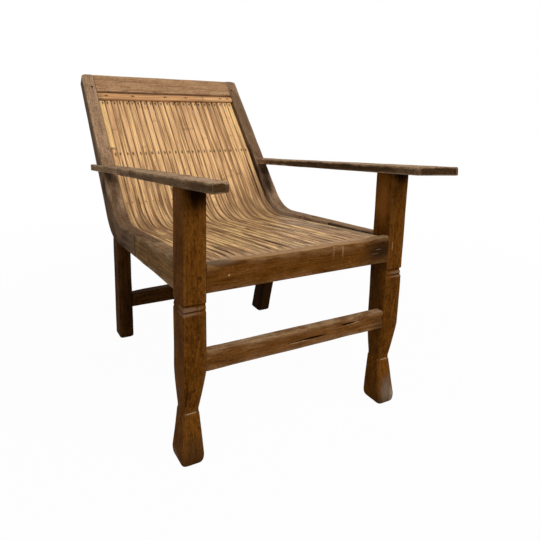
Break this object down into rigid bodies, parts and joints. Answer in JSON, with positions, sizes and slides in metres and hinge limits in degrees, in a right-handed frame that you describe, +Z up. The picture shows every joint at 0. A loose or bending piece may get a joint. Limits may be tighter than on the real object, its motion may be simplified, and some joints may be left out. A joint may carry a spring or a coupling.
{
  "type": "plantation chair",
  "caption": "Low lounge armchair: a raked back and seat of bent split bamboo slats in a tenoned hardwood frame, with long sloping arm boards on square, grooved front legs.",
  "frame": {"origin": "middle of the chair's footprint box, on the floor", "axes": "+Z up; the sitter faces -Y; +X is the sitter's left"},
  "size_m": [0.5996, 1.1722, 0.8183],
  "materials": {
    "warm_hardwood": "old oiled hardwood, warm brown, worn satin",
    "weathered_hardwood": "grey-brown hardwood, worn pale on edges and tops",
    "shaded_hardwood": "dark oiled hardwood",
    "split_bamboo": "aged split bamboo, golden tan, satin skin",
    "rough_batten": "rough sawn hardwood, unfinished"
  },
  "bodies": {
    "root": {"front_leg_left": "warm_hardwood", "front_leg_right": "warm_hardwood", "rear_leg_left": "shaded_hardwood", "rear_leg_right": "shaded_hardwood", "back_stile_left": "weathered_hardwood", "back_stile_right": "weathered_hardwood", "seat_rail_left": "warm_hardwood", "seat_rail_right": "warm_hardwood", "top_rail": "weathered_hardwood", "top_rail_peg_left": "shaded_hardwood", "top_rail_peg_right": "shaded_hardwood", "front_seat_rail": "warm_hardwood", "front_stretcher": "warm_hardwood", "rear_stretcher": "shaded_hardwood", "arm_left": "weathered_hardwood", "arm_right": "weathered_hardwood", "back_cover_batten": "split_bamboo", "back_batten_upper": "rough_batten", "back_batten_middle": "rough_batten", "back_batten_lower": "rough_batten", "seat_batten_rear": "rough_batten", "seat_batten_front": "rough_batten", "slat_01": "split_bamboo", "slat_02": "split_bamboo", "slat_03": "split_bamboo", "slat_04": "split_bamboo", "slat_05": "split_bamboo", "slat_06": "split_bamboo", "slat_07": "split_bamboo", "slat_08": "split_bamboo", "slat_09": "split_bamboo", "slat_10": "split_bamboo", "slat_11": "split_bamboo", "slat_12": "split_bamboo", "slat_13": "split_bamboo", "slat_14": "split_bamboo", "slat_15": "split_bamboo", "slat_16": "split_bamboo", "slat_17": "split_bamboo", "slat_18": "split_bamboo", "slat_19": "split_bamboo", "slat_20": "split_bamboo", "slat_21": "split_bamboo", "slat_22": "split_bamboo", "slat_23": "split_bamboo", "slat_24": "split_bamboo"}
  },
  "joints": []
}
